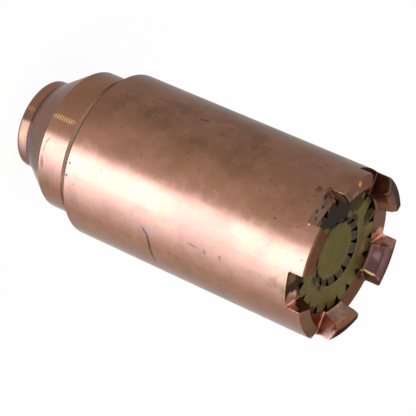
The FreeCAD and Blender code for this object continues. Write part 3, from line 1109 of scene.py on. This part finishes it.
def olive_brass(name, metals):
    """Dull olive brass with a dark seam, dark patches, and painted shadows, shade and reflections."""
    reference = 10.0
    material, axis = new_metal(name, 0.0, 0.5, reference)
    place, radius = axis["Place"], axis["Radius"]
    cloud = mottle(place, 2.2, 0.35, 0.7)
    base = layered(metals.brass, (cloud * 0.30, (0.135, 0.100, 0.036, 1.0)))
    base = put_marks(base, axis, reference, cloud, JET_MARKS)[0]
    # Painted shade on the wall of the core's dish, and a dark seam where the ring meets the shell
    ragged = radius + mottle(place, 0.8, 0.3, 0.7) * 0.5
    wall = between(ragged, 6.05, 6.25) * between(radius, 7.25, 7.15)
    seam = between(radius, 12.68, 12.80)
    # The core's grooves, as in JetSizes, carry on as short black notches painted at the foot of that wall:
    # painted shade of the grooves beyond their real ends
    pitch, first_turn, notch_tip, flank = 360.0 / 14, 1.8, 5.42, 0.35
    # Half a pitch puts a groove's middle at 0, and a hundred whole ones keep the sum above 0
    share = calc("FRACT", (axis["Turn"] - first_turn) / pitch + 100.5) - 0.5
    aside = calc("ABSOLUTE", share) * (radius * math.radians(pitch))
    inside = (radius - notch_tip) * flank - aside
    painted_notch_shade = between(inside, 0.0, 0.05) * between(radius, 7.20, 7.15)
    base = layered(base, (wall * 0.85, (0.070, 0.054, 0.048, 1.0)),
                   (calc("MAXIMUM", seam, painted_notch_shade), metals.soot))
    return finish_metal(material, base, cloud * 0.1 + 0.42, turning(place, radius, 0.3), 0.003)


def groove_soot_and_shade(name, metals):
    """Brass under black soot in the grooves, painted near black also as painted shade of the deep grooves.
    """
    material, axis = new_metal(name, 0.0, 0.4, 10.0)
    cloud = mottle(axis["Place"], 0.7, 0.3, 0.8)
    return finish_metal(
        material, blend(cloud, metals.soot, (0.03, 0.02, 0.016, 1.0)), cloud * 0.2 + 0.5)


def metal(maker):
    """The material that a function makes, made on first use and named after the function."""
    name = maker.__name__
    return bpy.data.materials.get(name) or maker(name, bpy.context.scene.nozzle_metals)


def camera_place():
    """Where the photograph was taken from, in the nozzle's frame."""
    right = Vector((-0.2495, -0.5441, 0.8011))
    up = Vector((0.5315, -0.7684, -0.3563))
    ahead = Vector((-0.8095, -0.3370, -0.4809))
    place = Vector((369.7, 156.5, 263.5)) * MM
    turned = Matrix((right, up, -ahead)).transposed().to_4x4()
    return Matrix.Translation(place) @ turned


def build_camera(studio):
    data = bpy.data.cameras.new("photo_camera")
    data.sensor_width = 36.0
    data.lens = studio.lens
    data.clip_start = 0.01
    data.clip_end = 20.0
    camera = linked("photo_camera", data)
    camera.matrix_world = camera_place()
    bpy.context.scene.camera = camera


def build_floor(studio):
    """A pale floor that is white to the camera and in mirrors, and keeps the nozzle's shadow."""
    material, tree = new_material("studio_floor")
    shader = tree.nodes["Principled BSDF"]
    shader.inputs["Base Color"].default_value = (0.85, 0.85, 0.85, 1.0)
    shader.inputs["Roughness"].default_value = 0.9
    paths = add(tree, "ShaderNodeLightPath")
    seen = paths["Is Camera Ray"]
    mirrored = calc("MAXIMUM", paths["Is Glossy Ray"], paths["Is Transmission Ray"])
    white = add(tree, "ShaderNodeEmission", {"Strength": seen + mirrored * studio.floor_level})
    white_share = 0.96
    share = calc("ADD", seen * white_share, mirrored, clamp=True)
    mixed = add(tree, "ShaderNodeMixShader", [share, Wire(shader.outputs[0]), white[0]])
    feed(tree.nodes["Material Output"], {"Surface": mixed[0]})
    material.cycles.emission_sampling = "NONE"
    half = studio.floor_size / 2
    corners = [(-half, -half, 0), (half, -half, 0), (half, half, 0), (-half, half, 0)]
    drawn("studio_floor", corners, [], [(0, 1, 2, 3)], [material])


def degrees(*turns):
    """Turns in degrees as radians."""
    return [math.radians(turn) for turn in turns]


def in_sector(turn, rise, fall):
    """1 in a sector, from where it rises to where it falls, each a pair of turns."""
    return between(turn, *rise) * between(turn, *fall, 1.0, 0.0)


def card_light(name, studio, brightness, sharp, fade, glow=None):
    """A light card's material: bright in one sector about its own Z axis.

    Beside that sector it is as bright as the floor, or a little brighter between the turns of glow.
    """
    material, tree = new_material(name)
    tree.nodes.remove(tree.nodes["Principled BSDF"])
    parts = add(tree, "ShaderNodeSeparateXYZ", [add(tree, "ShaderNodeTexCoord")["Object"]])
    turn = calc("ARCTAN2", parts["Y"], parts["X"])
    bright = in_sector(turn, sharp, fade)
    beside = studio.floor_level
    if glow:
        beside = in_sector(turn, *glow) * studio.card_glow + beside
    # The tint is full at a quarter of the brightness
    tinted = between(bright, 0.0, 0.25)
    light = add(tree, "ShaderNodeEmission", {
        "Color": blend(tinted, WHITE, studio.card_tint),
        "Strength": bright * brightness + beside})
    feed(tree.nodes["Material Output"], {"Surface": light[0]})
    return material


def card_object(name, places, faces, materials):
    """A card that only mirrors see."""
    card = drawn(name, places, [], faces, materials)
    card.visible_camera = card.visible_diffuse = card.visible_shadow = False
    return card


def build_card(studio):
    """A light card that lies on the floor round the front of the nozzle and shows as the long highlight.

    It is a fan about a point near the axis. Its bright sector starts sharply on one side and fades out on
    the other. The rest is a little brighter than the floor.
    """
    apex = (0.0101, 0.0048, 0.0005)
    near, far, steps = 0.014, 0.35, 28
    facing, half_span = degrees(95.0, 140.0)
    sharp, fade = degrees(-61.0, -55.0), degrees(-43.0, 29.0)
    glow = degrees(-138.0, -80.0), degrees(80.0, 138.0)
    material = card_light("light_card", studio, studio.card_level, sharp, fade, glow)
    turns = spread(-half_span, half_span, steps)
    places = [on_turn(radius, turn, 0.0) for radius in (near, far) for turn in turns]
    faces = [(index, index + steps + 1, index + steps + 2, index + 1) for index in range(steps)]
    card = card_object("light_card", places, faces, [material])
    card.location = apex
    card.rotation_euler.z = facing


def build_neck_card(studio):
    """A low upright card close round the neck.

    The neck stands so near the floor that the big card can't show in it.
    """
    radius, low, high, thickness = 9.9 * MM, 0.1 * MM, 2.3 * MM, 0.03 * MM
    first, last, steps = *degrees(15.0, 95.0), 16
    sharp, fade = degrees(27.0, 33.0), degrees(48.0, 88.0)
    level_share = 0.50
    turns = spread(first, last, steps)
    places = [on_turn(away, turn, height) for away in (radius, radius + thickness)
              for height in (low, high) for turn in turns]
    row = steps + 1
    faces = [(index, index + 1, index + row + 1, index + row)
             for start in (0, 2 * row) for index in range(start, start + steps)]
    card = card_object("neck_card", places, faces, [
        card_light("neck_card", studio, studio.card_level * level_share, sharp, fade),
        card_light("neck_card_back", studio, 0.0, sharp, fade)])
    for face in card.data.polygons[steps:]:
        face.material_index = 1


def build_world(studio):
    """A soft pale world, white to the camera."""
    world = bpy.data.worlds.new("studio_world")
    bpy.context.scene.world = world
    world.use_nodes = True
    background = world.node_tree.nodes["Background"]
    background.inputs["Color"].default_value = WHITE
    paths = add(world.node_tree, "ShaderNodeLightPath")
    seen = calc("MAXIMUM", paths["Is Camera Ray"], paths["Is Transmission Ray"])
    feed(background, {"Strength": seen + (1.0 - seen) * studio.sky_level})


def build_lamp():
    """A soft square lamp above, which isn't seen itself."""
    place, aim = Vector((0.45, 0.60, 1.0)), Vector((0.0, 0.0, 0.04))
    data = bpy.data.lights.new("top_lamp", "AREA")
    data.shape = "RECTANGLE"
    data.size = data.size_y = 1.2
    data.energy = 5.0
    lamp = linked("top_lamp", data)
    lamp.location = place
    lamp.rotation_euler = (aim - place).to_track_quat("-Z", "Y").to_euler()
    lamp.visible_camera = False


class NozzleOperator:
    """What every operator of this add-on shares."""
    bl_options = {"REGISTER", "UNDO"}


class NOZZLE_OT_tail(NozzleOperator, bpy.types.Operator):
    """Build the turned tail"""
    bl_idname = "nozzle.tail"
    bl_label = "Tail"

    def execute(self, context):
        piece = build_tail(context.scene.nozzle_tail, metal(tooled_copper))
        seated(piece, "tail")
        return {"FINISHED"}


class NOZZLE_OT_shell(NozzleOperator, bpy.types.Operator):
    """Build the barrel with its crown"""
    bl_idname = "nozzle.shell"
    bl_label = "Shell"

    def execute(self, context):
        scene = context.scene
        piece = build_shell(scene.nozzle_shell, scene.nozzle_jets, scene.nozzle_tail,
                            metal(handled_copper), metal(crown_copper))
        seated(piece, "shell")
        return {"FINISHED"}


class NOZZLE_OT_jets(NozzleOperator, bpy.types.Operator):
    """Build the grooved brass ring and core"""
    bl_idname = "nozzle.jets"
    bl_label = "Jets"

    def execute(self, context):
        jets = context.scene.nozzle_jets
        groove, brass = metal(groove_soot_and_shade), metal(olive_brass)
        seated(build_ring(jets, groove, brass), "jet_ring")
        seated(build_core(jets, groove, brass), "jet_core")
        return {"FINISHED"}


class NOZZLE_OT_stage(NozzleOperator, bpy.types.Operator):
    """Build floor, light cards, world, lamp and camera"""
    bl_idname = "nozzle.stage"
    bl_label = "Stage"

    def execute(self, context):
        studio = context.scene.nozzle_studio
        context.scene.view_settings.view_transform = "Standard"
        build_floor(studio)
        build_card(studio)
        build_neck_card(studio)
        build_world(studio)
        build_lamp()
        build_camera(studio)
        return {"FINISHED"}


class NOZZLE_PT_panel(bpy.types.Panel):
    """Lists the nozzle's pieces and their sizes"""
    bl_label = "Gas heating nozzle"
    bl_idname = "NOZZLE_PT_panel"
    bl_space_type = "VIEW_3D"
    bl_region_type = "UI"
    bl_category = "Nozzle"

    def draw(self, context):
        for operator in OPERATORS:
            self.layout.operator(operator.bl_idname)
        for label, kind in SETTINGS.items():
            box = self.layout.box()
            box.label(text=label.replace("_", " "))
            for name in kind.__annotations__:
                box.prop(getattr(context.scene, label), name)


OPERATORS = (NOZZLE_OT_tail, NOZZLE_OT_shell, NOZZLE_OT_jets, NOZZLE_OT_stage)

SETTINGS = {
    "nozzle_tail": TailSizes,
    "nozzle_shell": ShellSizes,
    "nozzle_jets": JetSizes,
    "nozzle_metals": Metals,
    "nozzle_studio": Studio,
}


def register():
    for kind in (*SETTINGS.values(), *OPERATORS, NOZZLE_PT_panel):
        bpy.utils.register_class(kind)
    for label, kind in SETTINGS.items():
        setattr(bpy.types.Scene, label, bpy.props.PointerProperty(type=kind))


def unregister():
    for label in SETTINGS:
        delattr(bpy.types.Scene, label)
    for kind in (NOZZLE_PT_panel, *reversed(OPERATORS), *SETTINGS.values()):
        bpy.utils.unregister_class(kind)


def main():
    register()
    bpy.ops.nozzle.stage()
    bpy.ops.nozzle.tail()
    bpy.ops.nozzle.shell()
    bpy.ops.nozzle.jets()


if __name__ == "__main__":
    main()
